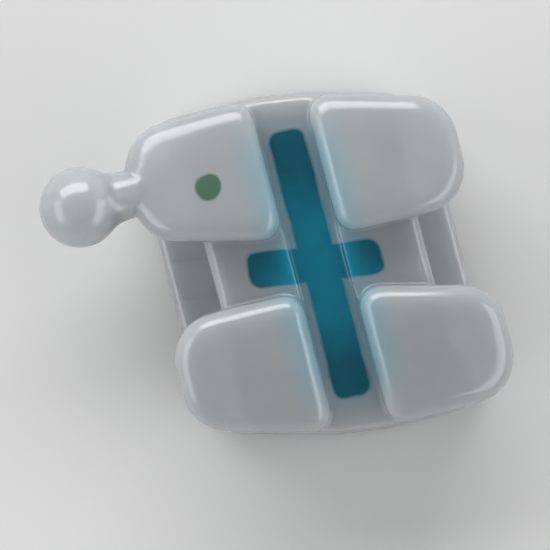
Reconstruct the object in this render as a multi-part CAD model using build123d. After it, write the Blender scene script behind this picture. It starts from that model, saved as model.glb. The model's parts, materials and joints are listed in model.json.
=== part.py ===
from build123d import *

import os
from math import atan2, degrees, radians, sqrt, tan

# Ceramic orthodontic bracket for an upper left canine, moulded in one piece: a curved bonding base,
# a core whose top is the floor of the archwire slot, four tie wings, and a ball hook on one of them.
# Millimetres and degrees. +X runs distally along the slot, +Y gingivally, +Z away from the tooth.
# The origin is the middle of the bonding surface, and levels are heights above it.

# Archwire slot, 0.022 by 0.028 inch
slot_height = 0.559  # between the wings, occlusogingival
slot_depth = 0.711  # from the slot floor to the crest of the wing faces
slot_floor_level = 0.90
slot_end_radius = 0.08  # rounding of the slot floor's ends, where the wire leaves

# Long axis of the tooth, which the wings, the channel and the base follow
tip_angle = 8.0  # between the long axis and the slot's perpendicular

# Tie wings
wing_span = 3.60  # across the wings at the slot, mesiodistal
wing_reach = 1.74  # from the slot's middle to a wing tip
wing_outer_lean = 0.20  # how far a wing's outer side leans in by its tip
wing_inner_lean = 0.17  # how far a wing's inner side leans in by its tip
wing_tip_radius = 0.50  # corners of the tip, seen from the front
wing_slot_radius = 0.21  # corners at the slot's ends, seen from the front
wing_edge_radius = 0.18  # rounding of the face's edge
face_radius = 5.4  # doming of the wing faces, all on one sphere

# Channel between the mesial and the distal wings
channel_width = 0.55
channel_rise = 0.14  # channel floor above the slot floor
channel_end_radius = 0.12  # rounding of the channel floor's outer end

# Tie grooves, under the gingival wings and under the occlusal wings
groove_height = 0.66
groove_level = 0.53  # middle of the groove's height, over the origin
core_reach = 0.98  # from the slot's middle to the bottom of a groove
core_lip = 0.14  # how far the core stands out past that, above and below the rounded bottom

# Bonding base
tooth_radius_md = 5.2  # curve of the bonding surface, mesiodistal
tooth_radius_og = 9.5  # curve of the bonding surface, occlusogingival
base_thickness = 0.34
base_margin = 0.06  # how far the base stands out past the sides of the core
base_gingival_reach = 1.60
base_occlusal_reach = 1.50
base_corner_radius = 0.50
base_rim_radius = 0.10  # rounding of the base's front edge
base_edge_radius = 0.06  # rounding of the base's edge next to the tooth
relief_width = 0.40  # groove across the bonding surface, along the long axis
relief_depth = 0.16

# Ball hook on the distogingival wing
hook_inset = 0.06  # hook axis from the middle of the wing's tip, towards the channel
hook_lift = 0.05  # hook axis above the middle of the wing's thickness at its tip
hook_rise = 5.0  # lean of the hook away from the tooth
hook_sink = 0.64  # start of the neck inside the wing, from the wing's tip
hook_stand = 0.54  # ball centre past the wing's tip
hook_root_radius = 0.16
hook_neck_radius = 0.27
hook_ball_radius = 0.43
hook_blend_radius = 0.15  # hollow between the neck and the ball

# Working values
overrun = 0.30  # how far a cutting or trimming body passes what it cuts
corner_share = 0.45  # most of a side that the rounding of one corner may take
edge_share = 0.90  # most that an edge's rounding may be of the corner or step that bounds it

face_level = slot_floor_level + slot_depth
slant = tan(radians(tip_angle))
trim_reach = max(wing_reach, base_gingival_reach, base_occlusal_reach) + overrun
tooth_axis = Axis((0, 0, -tooth_radius_md), (0, 1, 0))


def slanted(points):
    """Plan whose points are given across and along the long axis."""
    return Polygon(*[(x + y * slant, y) for x, y in points], align=None)


def prism(plan, bottom, top):
    return extrude(Pos(0, 0, bottom) * plan, top - bottom, dir=(0, 0, 1))


def drop(radius, distance):
    """How far a curve of this radius has fallen at a distance from its crest."""
    return radius - sqrt(radius**2 - distance**2)


def outer_side(y):
    """Wings' outer side from the long axis, at y from the slot's middle."""
    share = (abs(y) - slot_height / 2) / (wing_reach - slot_height / 2)
    return wing_span / 2 - wing_outer_lean * max(share, 0)


def body_plan(gingival_reach, occlusal_reach, margin):
    """Plan that follows the wings' outer sides, with a margin past them."""
    distal = [
        (outer_side(occlusal_reach) + margin, -occlusal_reach),
        (outer_side(0) + margin, -slot_height / 2),
        (outer_side(0) + margin, slot_height / 2),
        (outer_side(gingival_reach) + margin, gingival_reach),
    ]
    mesial = [(-x, y) for x, y in reversed(distal)]
    return slanted(distal + mesial)


def barrel(level, radius_md, radius_og):
    """Body whose top curves both ways and reaches the given level over the origin."""
    axis_level = level - radius_md
    end_level = level - drop(radius_og, trim_reach)
    top = ThreePointArc((-trim_reach, end_level), (0, level), (trim_reach, end_level))
    rest = Polyline(
        (trim_reach, end_level),
        (trim_reach, axis_level),
        (-trim_reach, axis_level),
        (-trim_reach, end_level),
    )
    profile = Plane.YZ * make_face([top, rest])
    return revolve(profile, Axis((0, 0, axis_level), (0, 1, 0)), 360)


def tooth(offset=0):
    """The tooth under the bracket, with its surface raised by an offset."""
    return barrel(offset, tooth_radius_md + offset, tooth_radius_og + offset)


def bonding_base():
    plan = body_plan(base_gingival_reach, base_occlusal_reach, base_margin)
    plan = fillet(plan.vertices(), base_corner_radius)
    pad = prism(plan, -face_level, face_level) & tooth(base_thickness)
    pad = fillet(pad.faces().sort_by(Axis.Z)[-1].edges(), base_rim_radius)
    pad -= tooth()
    return fillet(pad.faces().sort_by(Axis.Z)[0].edges(), base_edge_radius)


def relief_groove():
    half = relief_width / 2
    strip = slanted([(-half, -trim_reach), (half, -trim_reach), (half, trim_reach), (-half, trim_reach)])
    return prism(strip, -face_level, face_level) & tooth(relief_depth)


def core():
    reach = core_reach + core_lip
    block = prism(body_plan(reach, reach, 0), -face_level, slot_floor_level)
    sides = block.faces().sort_by(Axis.Z)[-1].edges().filter_by(Axis.X, reverse=True)
    return fillet(sides, slot_end_radius)


def channel_floor(end):
    half = channel_width / 2 + wing_inner_lean
    near = end * slot_height / 2
    far = end * (core_reach + core_lip)
    plan = slanted([(-half, near), (half, near), (half, far), (-half, far)])
    block = prism(plan, groove_level, slot_floor_level + channel_rise)
    outer_end = block.faces().sort_by(Axis.Z)[-1].edges().sort_by(lambda e: end * e.center().Y)[-1]
    return fillet(outer_end, min(channel_end_radius, edge_share * channel_rise))


def tip_sides():
    """Inner and outer side of a wing at its tip, from the long axis."""
    return channel_width / 2 + wing_inner_lean, outer_side(wing_reach)


def tie_wing(side, end):
    """Wing on the distal (1) or mesial (-1) side, at the gingival (1) or occlusal (-1) end."""
    tip_inner, tip_outer = tip_sides()
    corners = [
        (channel_width / 2, slot_height / 2),
        (outer_side(0), slot_height / 2),
        (tip_outer, wing_reach),
        (tip_inner, wing_reach),
    ]
    plan = slanted([(side * x, end * y) for x, y in corners])
    tip_radius = min(wing_tip_radius, corner_share * (tip_outer - tip_inner))
    edge_radius = min(wing_edge_radius, edge_share * wing_slot_radius, edge_share * tip_radius)
    tip_corners = plan.vertices().sort_by(lambda v: end * v.Y)[-2:]
    plan = fillet(tip_corners, tip_radius)
    slot_corners = plan.vertices().sort_by(lambda v: end * v.Y)[:2]
    plan = fillet(slot_corners, wing_slot_radius)
    dome = Pos(0, 0, face_level - face_radius) * Sphere(face_radius)
    wing = prism(plan, groove_level, face_level + overrun) & dome
    return fillet(wing.faces().sort_by(Axis.Z)[-1].edges(), edge_radius)


def tie_groove(end):
    """Round-bottomed groove that curves with the tooth, mesiodistally."""
    radius = groove_height / 2
    middle = core_reach + radius
    section = Pos(end * middle, groove_level) * Circle(radius)
    section += Pos(end * (middle + trim_reach / 2), groove_level) * Rectangle(trim_reach, groove_height)
    return revolve(Plane.YZ * section, tooth_axis, 360)


def hook_place():
    """Point of the hook axis at the wing's tip."""
    x = sum(tip_sides()) / 2 - hook_inset + wing_reach * slant
    roof = groove_level + groove_height / 2
    under = roof - drop(tooth_radius_md + roof, x)
    over = face_level - drop(face_radius, sqrt(x**2 + wing_reach**2))
    return Pos(x, wing_reach, (under + over) / 2 + hook_lift)


def ball_hook():
    """Neck and ball turned about one axis, with a hollow where the neck runs into the ball."""
    blend_height = hook_neck_radius + hook_blend_radius
    blend_length = sqrt((hook_ball_radius + hook_blend_radius) ** 2 - blend_height**2)
    neck_end = hook_stand - blend_length
    meet_angle = degrees(atan2(blend_height, blend_length))
    outline = [
        Polyline(
            (hook_stand + hook_ball_radius, 0),
            (-hook_sink, 0),
            (-hook_sink, hook_root_radius),
            (neck_end, hook_neck_radius),
        ),
        CenterArc((neck_end, blend_height), hook_blend_radius, -90, 90 - meet_angle),
        CenterArc((hook_stand, 0), hook_ball_radius, 180 - meet_angle, meet_angle - 180),
    ]
    turned = revolve(make_face(outline), Axis.X, 360)
    return hook_place() * Rot(0, 0, 90) * Rot(0, -hook_rise, 0) * turned


def bracket():
    body = core()
    for end in (1, -1):
        body += channel_floor(end)
        for side in (1, -1):
            body += tie_wing(side, end)
    for end in (1, -1):
        body -= tie_groove(end)
    body -= tooth(base_thickness / 2)
    body += bonding_base()
    body -= relief_groove()
    body += ball_hook()
    return body


os.makedirs("parts", exist_ok=True)
export_step(bracket(), "parts/bracket.step")
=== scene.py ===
import json
import math

import bmesh
import bpy
from mathutils import Matrix, Vector, noise

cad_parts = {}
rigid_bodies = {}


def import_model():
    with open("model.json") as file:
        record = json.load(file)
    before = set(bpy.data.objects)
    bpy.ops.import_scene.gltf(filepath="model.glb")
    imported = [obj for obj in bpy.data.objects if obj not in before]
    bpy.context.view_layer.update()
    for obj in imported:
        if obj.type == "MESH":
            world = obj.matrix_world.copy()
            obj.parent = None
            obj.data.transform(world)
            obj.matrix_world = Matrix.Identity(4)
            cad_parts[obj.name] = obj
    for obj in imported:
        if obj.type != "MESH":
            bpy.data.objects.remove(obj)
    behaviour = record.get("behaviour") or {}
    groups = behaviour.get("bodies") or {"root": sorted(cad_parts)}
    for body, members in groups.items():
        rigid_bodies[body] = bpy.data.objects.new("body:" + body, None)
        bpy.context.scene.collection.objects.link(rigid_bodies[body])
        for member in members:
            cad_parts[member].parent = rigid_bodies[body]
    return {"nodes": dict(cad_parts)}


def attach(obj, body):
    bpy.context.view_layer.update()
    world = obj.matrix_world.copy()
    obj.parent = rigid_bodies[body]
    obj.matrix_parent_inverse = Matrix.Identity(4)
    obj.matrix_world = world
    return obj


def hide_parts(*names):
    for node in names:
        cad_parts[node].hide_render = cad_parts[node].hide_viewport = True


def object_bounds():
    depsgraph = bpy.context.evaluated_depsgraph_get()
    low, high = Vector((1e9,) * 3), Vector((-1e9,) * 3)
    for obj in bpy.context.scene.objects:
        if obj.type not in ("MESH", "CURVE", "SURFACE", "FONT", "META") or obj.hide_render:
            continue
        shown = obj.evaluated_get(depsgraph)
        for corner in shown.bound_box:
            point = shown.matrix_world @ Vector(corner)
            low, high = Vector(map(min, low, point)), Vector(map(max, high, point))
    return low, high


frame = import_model()
cadLow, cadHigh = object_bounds()
mm = 0.001  # the sizes below are in millimetres, and Blender's are in metres
centre = (cadLow + cadHigh) / 2
print("frame loaded, CAD box in mm:", [round(side / mm, 3) for side in cadHigh - cadLow])


# Node helpers for the materials

noiseMiddle = 0.5  # a noise texture's mean
noiseSwing = 0.25  # how far it usually strays from that


def addNode(tree, kind, sockets=None, **settings):
    node = tree.nodes.new(kind)
    for name, value in settings.items():
        setattr(node, name, value)
    for name, value in (sockets or {}).items():
        if isinstance(value, bpy.types.NodeSocket):
            tree.links.new(value, node.inputs[name])
        else:
            node.inputs[name].default_value = value
    return node


def maths(tree, operation, first, second=0.0):
    return addNode(tree, "ShaderNodeMath", {0: first, 1: second}, operation=operation).outputs[0]


def vectorMaths(tree, operation, first, second=(0, 0, 0)):
    return addNode(tree, "ShaderNodeVectorMath", {0: first, 1: second}, operation=operation).outputs


def absolute(tree, value):
    return maths(tree, "ABSOLUTE", value)


def product(tree, *factors):
    total = factors[0]
    for factor in factors[1:]:
        total = maths(tree, "MULTIPLY", total, factor)
    return total


def length(tree, vector):
    return vectorMaths(tree, "LENGTH", vector)["Value"]


def fade(tree, value, full, gone):  # 1 up to full, 0 from gone on
    sockets = {"Value": value, "From Min": full, "From Max": gone, "To Min": 1.0, "To Max": 0.0}
    node = addNode(tree, "ShaderNodeMapRange", sockets, interpolation_type="SMOOTHSTEP")
    return node.outputs["Result"]


def spread(tree, value, low, high):  # a 0 to 1 value over another range
    sockets = {"Value": value, "To Min": low, "To Max": high}
    return addNode(tree, "ShaderNodeMapRange", sockets).outputs["Result"]


def cloudNoise(tree, place, texture):  # the scale is how many clouds go to a millimetre
    sockets = {"Vector": place, "Scale": texture["scale"], "Detail": texture["detail"]}
    return addNode(tree, "ShaderNodeTexNoise", sockets).outputs


def tint(tree, amount, under, over):
    node = addNode(tree, "ShaderNodeMix", {"Factor": amount}, data_type="RGBA")
    for name, colour in (("A", under), ("B", over)):
        socket = [s for s in node.inputs if s.name == name and s.type == "RGBA"][0]
        if isinstance(colour, bpy.types.NodeSocket):
            tree.links.new(colour, socket)
        else:
            socket.default_value = (*colour, 1.0)
    return [s for s in node.outputs if s.type == "RGBA"][0]


# Ceramic body: a copy of the moulded solid with softened edges and a gritty bonding surface

bodyShape = {
    "weld": 0.0005,  # vertices of the solid that are nearer than this are one
    "skinDepth": 8,  # the remesh grid halves this many times
    "skinScale": 0.66,  # share of the grid that the body takes, for cells of about 0.026 mm
    "smoothing": 0.5,  # how far each pass moves a vertex towards the middle of its neighbours
    "edgePasses": 7,  # over the whole skin, which rounds sharp edges by about 0.05 mm
    # Further smoothing where the skin turns little from cell to cell.
    # It is whole below the first angle, in degrees, and none is left above the second.
    "roundings": {"passes": 30, "angle": (11, 17)},
    "broadFaces": {"passes": 120, "angle": (1.5, 3.0)},
    "margin": 2,  # rings of vertices kept out of it round what turns more
    "shadingPasses": 12,  # over the normals alone, where the roundings are smoothed
    "bondTop": 0.05,  # the bonding surface lies under this level and faces down
    "bondFacing": -0.8,
    "gritHeight": 0.022,
    "gritSize": 0.06,
    "gritMiddle": 0.5,  # this far from a grain, in grains, the surface stays level
    "gritMargin": 5,  # rings of vertices left smooth along the rim
}


def linked(mesh, name):
    piece = bpy.data.objects.new(name, mesh)
    bpy.context.scene.collection.objects.link(piece)
    return piece


def applied(piece):  # the mesh that a piece's modifiers give, and the piece itself removed
    depsgraph = bpy.context.evaluated_depsgraph_get()
    mesh = bpy.data.meshes.new_from_object(piece.evaluated_get(depsgraph))
    bpy.data.objects.remove(piece)
    return mesh


def addSmoothing(piece, passes, group=""):
    smoothing = piece.modifiers.new("smoothing", "SMOOTH")
    smoothing.factor = bodyShape["smoothing"]
    smoothing.iterations = passes
    smoothing.vertex_group = group


def evenSkin():  # the solid's surface in small cells of one size
    shape = bmesh.new()
    shape.from_mesh(frame["nodes"]["bracket"].data)
    bmesh.ops.scale(shape, vec=Vector((1, 1, 1)) / mm, verts=shape.verts)
    bmesh.ops.remove_doubles(shape, verts=shape.verts, dist=bodyShape["weld"])
    mesh = bpy.data.meshes.new("casting")
    shape.to_mesh(mesh)
    shape.free()
    casting = linked(mesh, "casting")
    skin = casting.modifiers.new("skin", "REMESH")
    skin.mode = "SHARP"
    skin.octree_depth = bodyShape["skinDepth"]
    skin.scale = bodyShape["skinScale"]
    skin.use_remove_disconnected = False
    return applied(casting)


def closePinches(mesh):  # cuts out any spot where the skin touches itself, and closes the hole
    shape = bmesh.new()
    shape.from_mesh(mesh)
    pinched = [v for v in shape.verts if any(len(edge.link_faces) > 2 for edge in v.link_edges)]
    bmesh.ops.delete(shape, geom=pinched, context="VERTS")
    rims = [edge for edge in shape.edges if edge.is_boundary]
    patches = bmesh.ops.holes_fill(shape, edges=rims)["faces"]
    bmesh.ops.poke(shape, faces=patches)
    shape.to_mesh(mesh)
    shape.free()
    print("skin:", len(pinched), "pinched vertices cut out")


def softSkin():
    mesh = evenSkin()
    closePinches(mesh)
    casting = linked(mesh, "softCasting")
    addSmoothing(casting, bodyShape["edgePasses"])
    return applied(casting)


def neighbours(shape):
    return [[edge.other_vert(vertex).index for edge in vertex.link_edges] for vertex in shape.verts]


def evenness(mesh, angle):  # 1 where the skin turns little from cell to cell, 0 near edges
    shape = bmesh.new()
    shape.from_mesh(mesh)
    turns = [max(edge.calc_face_angle(0) for edge in vertex.link_edges) for vertex in shape.verts]
    rings = neighbours(shape)
    shape.free()
    for _ in range(bodyShape["margin"]):
        turns = [max(own, max(turns[i] for i in ring)) for own, ring in zip(turns, rings)]
    small, large = [math.radians(degrees) for degrees in angle]
    return [min(max((large - turn) / (large - small), 0), 1) for turn in turns]


def evened(mesh, step):
    weights = evenness(mesh, step["angle"])
    casting = linked(mesh, "evenedCasting")
    group = casting.vertex_groups.new(name="evened")
    for index, weight in enumerate(weights):
        if weight > 0:
            group.add([index], weight, "REPLACE")
    addSmoothing(casting, step["passes"], group.name)
    return applied(casting)


def onBondingSurface(vertex):
    return vertex.co.z < bodyShape["bondTop"] and vertex.normal.z < bodyShape["bondFacing"]


def addGrit(mesh):  # raises grains on the bonding surface and marks them for the material
    mesh.attributes.new("bondGrit", "FLOAT", "POINT")
    shape = bmesh.new()
    shape.from_mesh(mesh)
    layer = shape.verts.layers.float["bondGrit"]
    bonded = {vertex for vertex in shape.verts if onBondingSurface(vertex)}
    for _ in range(bodyShape["gritMargin"]):
        bonded = {v for v in bonded if all(edge.other_vert(v) in bonded for edge in v.link_edges)}
        for vertex in bonded:
            vertex[layer] += 1 / bodyShape["gritMargin"]
    for vertex in bonded:
        fromGrain = noise.voronoi(vertex.co / bodyShape["gritSize"])[0][0]
        rise = bodyShape["gritHeight"] * (bodyShape["gritMiddle"] - fromGrain)
        vertex.co += vertex.normal * rise * vertex[layer]
    shape.to_mesh(mesh)
    shape.free()


def evenShading(mesh):  # evens the normals alone, so that highlights run smoothly along the roundings
    weights = evenness(mesh, bodyShape["roundings"]["angle"])
    shape = bmesh.new()
    shape.from_mesh(mesh)
    normals = [vertex.normal.copy() for vertex in shape.verts]
    rings = neighbours(shape)
    shape.free()
    steps = [bodyShape["smoothing"] * weight for weight in weights]
    for _ in range(bodyShape["shadingPasses"]):
        means = [sum((normals[i] for i in ring), Vector()).normalized() for ring in rings]
        normals = [own.lerp(mean, step).normalized() for own, mean, step in zip(normals, means, steps)]
    mesh.shade_smooth()
    mesh.normals_split_custom_set_from_vertices(normals)


def moldedBody():
    mesh = evened(softSkin(), bodyShape["roundings"])
    mesh = evened(mesh, bodyShape["broadFaces"])
    addGrit(mesh)
    mesh.transform(Matrix.Scale(mm, 4))
    mesh.name = "ceramicBody"
    evenShading(mesh)
    return linked(mesh, "ceramicBody")


# Painted marks: an alignment cross in the slot and across it and a dot on the wing with the hook; also
# painted shade on the cross and painted teal light in the wings

paintLook = {
    "teal": (0.0, 0.27, 0.39),
    # painted shade: the teal as it looks in the shaded slot, away from the crossing
    "shadedTeal": (0.0, 0.14, 0.21),
    "green": (0.05, 0.15, 0.08),
    "paintedGlow": (0.26, 0.62, 0.76),  # painted light: teal carried from the slot's paint through the translucent wings
    "paintedGlowAmount": 0.6,
    "shine": 0.18,  # roughness that the paint adds
    "stray": {"scale": 2.5, "detail": 6.0, "reach": 0.018},  # how the brush strays
    "thickness": {"scale": 5.0, "detail": 4.0, "amount": 0.9},  # patches where the paint lies thicker
    "tipAngle": 8,  # degrees, from the slot's perpendicular to the long axis of the tooth
    "slotBar": {"halfLength": 1.47, "halfWidth": 0.22, "corner": 0.14, "softness": 0.05},
    "axisBar": {"halfLength": 0.73, "halfWidth": 0.22, "corner": 0.14, "softness": 0.05},
    "axisMiddle": 0.05,  # of the bar on the long axis, past the slot's middle
    "slotLevel": (0.97, 1.12),  # from here on, each pair is where a thing is whole and where it ends
    "axisLevel": (1.10, 1.25),
    "paintBottom": 0.8,  # no paint of the cross lies lower
    "paintedShadeFrom": (0.35, 1.25),  # painted shade: light teal at the crossing, turning to the shaded teal farther out
    "paintedShadeStretch": (1, 1.6, 0),  # it ends sooner along the short bar
    "dotMiddle": (1.065, 0.92, 0),
    "dotRadius": (0.12, 0.16),
    "dotLevel": 1.2,  # the dot is above this
    "paintedGlowFrom": (0.28, 0.70),  # to each side of the slot's middle
    "paintedGlowLength": (1.0, 1.75),
    "paintedGlowLevel": (0.95, 0.55),
}


def paintedBar(tree, along, across, bar):  # 1 inside a bar with rounded corners, 0 outside
    corner = bar["corner"]
    pastLength = maths(tree, "SUBTRACT", absolute(tree, along), bar["halfLength"] - corner)
    pastWidth = maths(tree, "SUBTRACT", absolute(tree, across), bar["halfWidth"] - corner)
    sockets = {"X": maths(tree, "MAXIMUM", pastLength), "Y": maths(tree, "MAXIMUM", pastWidth)}
    past = length(tree, addNode(tree, "ShaderNodeCombineXYZ", sockets).outputs[0])
    return fade(tree, past, corner - bar["softness"], corner)


def brushPlace(tree, place):  # places moved about a little, so that painted edges aren't quite straight
    stray = paintLook["stray"]
    offset = cloudNoise(tree, place, stray)["Color"]
    offset = vectorMaths(tree, "SUBTRACT", offset, (noiseMiddle,) * 3)[0]
    offset = vectorMaths(tree, "MULTIPLY", offset, (stray["reach"] / noiseSwing,) * 3)[0]
    return vectorMaths(tree, "ADD", place, offset)[0]


def crossMark(tree, exact, brush):
    look = paintLook
    slotLine = product(
        tree,
        paintedBar(tree, brush["X"], brush["Y"], look["slotBar"]),
        fade(tree, exact["Z"], *look["slotLevel"]),
    )
    slant = math.tan(math.radians(look["tipAngle"]))
    across = maths(tree, "SUBTRACT", brush["X"], maths(tree, "MULTIPLY", brush["Y"], slant))
    along = maths(tree, "SUBTRACT", brush["Y"], look["axisMiddle"])
    axisLine = product(
        tree,
        paintedBar(tree, along, across, look["axisBar"]),
        fade(tree, exact["Z"], *look["axisLevel"]),
    )
    return product(
        tree,
        maths(tree, "MAXIMUM", slotLine, axisLine),
        maths(tree, "GREATER_THAN", exact["Z"], look["paintBottom"]),
    )


def tealPaintAndShade(tree, place):  # painted shade, lightest at the crossing and darker out along the bars where the wings shade the slot, with patches of thicker paint
    look = paintLook
    fromCrossing = length(tree, vectorMaths(tree, "MULTIPLY", place, look["paintedShadeStretch"])[0])
    patches = cloudNoise(tree, place, look["thickness"])["Fac"]
    patches = maths(tree, "SUBTRACT", patches, noiseMiddle)
    patches = maths(tree, "MULTIPLY", patches, look["thickness"]["amount"])
    paintedLightAndPatches = maths(tree, "ADD", fade(tree, fromCrossing, *look["paintedShadeFrom"]), patches)
    return tint(tree, paintedLightAndPatches, look["shadedTeal"], look["teal"])


def dotMark(tree, exact, brushed):
    look = paintLook
    offset = vectorMaths(tree, "SUBTRACT", brushed, look["dotMiddle"])[0]
    offset = vectorMaths(tree, "MULTIPLY", offset, (1, 1, 0))[0]  # seen from the front
    return product(
        tree,
        fade(tree, length(tree, offset), *look["dotRadius"]),
        maths(tree, "GREATER_THAN", exact["Z"], look["dotLevel"]),
    )


# painted light: a teal tint on the wings beside the slot, for light carried through the ceramic from the
# paint
def paintedGlowMark(tree, exact):
    look = paintLook
    return product(
        tree,
        fade(tree, absolute(tree, exact["Y"]), *look["paintedGlowFrom"]),
        fade(tree, absolute(tree, exact["X"]), *look["paintedGlowLength"]),
        fade(tree, exact["Z"], *look["paintedGlowLevel"]),
        look["paintedGlowAmount"],
    )


def paintMarks(tree, place, colour):  # the ceramic's colour with the marks, their painted shade and the painted teal light over it, and where the marks are
    brushed = brushPlace(tree, place)
    exact = addNode(tree, "ShaderNodeSeparateXYZ", {0: place}).outputs
    brush = addNode(tree, "ShaderNodeSeparateXYZ", {0: brushed}).outputs
    cross = crossMark(tree, exact, brush)
    dot = dotMark(tree, exact, brushed)
    colour = tint(tree, paintedGlowMark(tree, exact), colour, paintLook["paintedGlow"])
    colour = tint(tree, cross, colour, tealPaintAndShade(tree, place))
    colour = tint(tree, dot, colour, paintLook["green"])
    return colour, maths(tree, "MAXIMUM", cross, dot)


# Ceramic finish: translucent alumina

ceramicLook = {
    "clear": (0.66, 0.69, 0.71),
    "cloudy": (0.56, 0.59, 0.615),
    "clouds": {"scale": 1.6, "detail": 3.0},
    "grit": (0.52, 0.54, 0.54),
    "shine": (0.12, 0.20),  # roughness of the moulded faces
    "gritShine": 0.40,  # added on the bonding surface
    "gritFine": {"scale": 45, "detail": 2.0, "height": 0.012},  # fine grains between the larger ones
    "peel": {"scale": 9.0, "detail": 2.0, "height": 0.0008},  # fine unevenness left by firing
    "index": 1.76,
    "milkiness": 0.85,
    "clearness": 0.45,  # share of the light that goes straight through
    "scatterDepth": (0.50, 0.52, 0.54),
}


def ceramicRelief(tree, place, grit):
    peel, fine = ceramicLook["peel"], ceramicLook["gritFine"]
    peelRise = maths(tree, "MULTIPLY", cloudNoise(tree, place, peel)["Fac"], peel["height"])
    fineRise = product(tree, cloudNoise(tree, place, fine)["Fac"], grit, fine["height"])
    rise = maths(tree, "ADD", peelRise, fineRise)
    return addNode(tree, "ShaderNodeBump", {"Height": rise, "Distance": mm}).outputs["Normal"]


def ceramicMaterial():
    look = ceramicLook
    material = bpy.data.materials.new("paintedCeramic")
    material.use_nodes = True
    tree = material.node_tree
    shader = tree.nodes["Principled BSDF"]
    place = addNode(tree, "ShaderNodeTexCoord").outputs["Object"]
    place = addNode(tree, "ShaderNodeMapping", {"Vector": place, "Scale": (1 / mm,) * 3}).outputs[0]
    clouds = cloudNoise(tree, place, look["clouds"])["Fac"]
    grit = addNode(tree, "ShaderNodeAttribute", attribute_name="bondGrit").outputs["Fac"]
    colour = tint(tree, clouds, look["clear"], look["cloudy"])
    colour = tint(tree, grit, colour, look["grit"])
    colour, paint = paintMarks(tree, place, colour)
    shine = spread(tree, clouds, *look["shine"])
    shine = maths(tree, "ADD", shine, maths(tree, "MULTIPLY", grit, look["gritShine"]))
    shine = maths(tree, "ADD", shine, maths(tree, "MULTIPLY", paint, paintLook["shine"]))
    clearness = spread(tree, paint, look["clearness"], 0.0)  # the paint is opaque
    tree.links.new(colour, shader.inputs["Base Color"])
    tree.links.new(shine, shader.inputs["Roughness"])
    tree.links.new(clearness, shader.inputs["Transmission Weight"])
    tree.links.new(ceramicRelief(tree, place, grit), shader.inputs["Normal"])
    shader.inputs["IOR"].default_value = look["index"]
    shader.inputs["Subsurface Weight"].default_value = look["milkiness"]
    shader.inputs["Subsurface Radius"].default_value = look["scatterDepth"]
    shader.inputs["Subsurface Scale"].default_value = mm
    return material


body = moldedBody()
body.data.materials.clear()
body.data.materials.append(ceramicMaterial())
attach(body, "root")
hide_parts("bracket")
print("ceramic body:", len(body.data.polygons), "faces")


# Stage

stageLook = {
    "floorHalf": 600,
    "floorColour": (0.80, 0.80, 0.79),
    "floorRoughness": 0.9,
    "skyColour": (0.97, 0.98, 1.0),
    "skyLow": 0.85,  # strength at the horizon
    "skyHigh": 0.05,  # and overhead
}


def paperMaterial():
    material = bpy.data.materials.new("palePaper")
    material.use_nodes = True
    tree = material.node_tree
    shader = tree.nodes["Principled BSDF"]
    shader.inputs["Base Color"].default_value = (*stageLook["floorColour"], 1)
    shader.inputs["Roughness"].default_value = stageLook["floorRoughness"]
    under = addNode(tree, "ShaderNodeNewGeometry").outputs["Backfacing"]  # clear from below
    clear = addNode(tree, "ShaderNodeBsdfTransparent").outputs[0]
    both = addNode(tree, "ShaderNodeMixShader", {0: under, 1: shader.outputs[0], 2: clear})
    tree.links.new(both.outputs[0], tree.nodes["Material Output"].inputs["Surface"])
    return material


def paleFloor():
    shape = bmesh.new()
    bmesh.ops.create_grid(shape, x_segments=1, y_segments=1, size=stageLook["floorHalf"] * mm)
    bmesh.ops.translate(shape, vec=(0, 0, cadLow.z), verts=shape.verts)
    mesh = bpy.data.meshes.new("floor")
    shape.to_mesh(mesh)
    shape.free()
    mesh.materials.append(paperMaterial())
    linked(mesh, "floor")


softboxes = {
    "key": {"toward": (0.84, 0.02, 0.54), "width": 340, "height": 140, "share": 1.00},
    "hookSide": {"toward": (0.05, 0.88, 0.47), "width": 240, "height": 110, "share": 0.24},
    "fill": {"toward": (-0.40, -0.78, 0.47), "width": 280, "height": 110, "share": 0.30},
}
softboxDistance = 240


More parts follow.
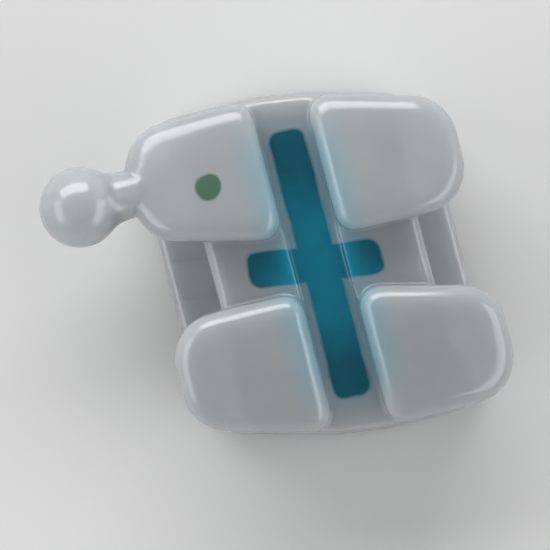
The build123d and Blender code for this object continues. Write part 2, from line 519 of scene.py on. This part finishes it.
def addSoftbox(name, box):
    toward = Vector(box["toward"]).normalized()
    lamp = bpy.data.lights.new(name, "AREA")
    lamp.shape = "RECTANGLE"
    lamp.size = box["width"] * mm
    lamp.size_y = box["height"] * mm
    lamp.energy = box["share"] * (math.pi * softboxDistance * mm) ** 2  # a share of 1 lights white to white
    holder = bpy.data.objects.new(name, lamp)
    holder.location = centre + toward * softboxDistance * mm
    holder.rotation_mode = "QUATERNION"
    holder.rotation_quaternion = toward.to_track_quat("Z", "Y")
    bpy.context.scene.collection.objects.link(holder)


def paleSky():
    world = bpy.data.worlds.new("studio")
    world.use_nodes = True
    tree = world.node_tree
    sky = tree.nodes["Background"]
    toward = addNode(tree, "ShaderNodeTexCoord").outputs["Generated"]
    height = addNode(tree, "ShaderNodeSeparateXYZ", {0: toward}).outputs["Z"]
    strength = spread(tree, height, stageLook["skyLow"], stageLook["skyHigh"])
    tree.links.new(strength, sky.inputs["Strength"])
    sky.inputs["Color"].default_value = (*stageLook["skyColour"], 1)
    bpy.context.scene.world = world


paleFloor()
for name, box in softboxes.items():
    addSoftbox(name, box)
paleSky()
print("stage: floor,", len(softboxes), "softboxes and sky")


# Camera, straight over the bracket and turned as in the photograph

cameraSet = {
    "up": (0.967, -0.256, 0),
    "distance": 60,
    "width": 5.8,  # of the view, at the bracket
    "sensor": 36,
    "clip": (1, 1000),
}


def overheadCamera():
    up = Vector(cameraSet["up"]).normalized()
    back = Vector((0, 0, 1))
    right = up.cross(back)
    lens = bpy.data.cameras.new("overhead")
    lens.sensor_width = cameraSet["sensor"]
    lens.lens = cameraSet["sensor"] * cameraSet["distance"] / cameraSet["width"]
    lens.clip_start, lens.clip_end = [limit * mm for limit in cameraSet["clip"]]
    camera = bpy.data.objects.new("overhead", lens)
    turn = Matrix((right, up, back)).transposed().to_4x4()
    camera.matrix_world = Matrix.Translation(centre + back * cameraSet["distance"] * mm) @ turn
    bpy.context.scene.collection.objects.link(camera)
    bpy.context.scene.camera = camera


overheadCamera()
bpy.context.scene.view_settings.view_transform = "Standard"
print("camera set")
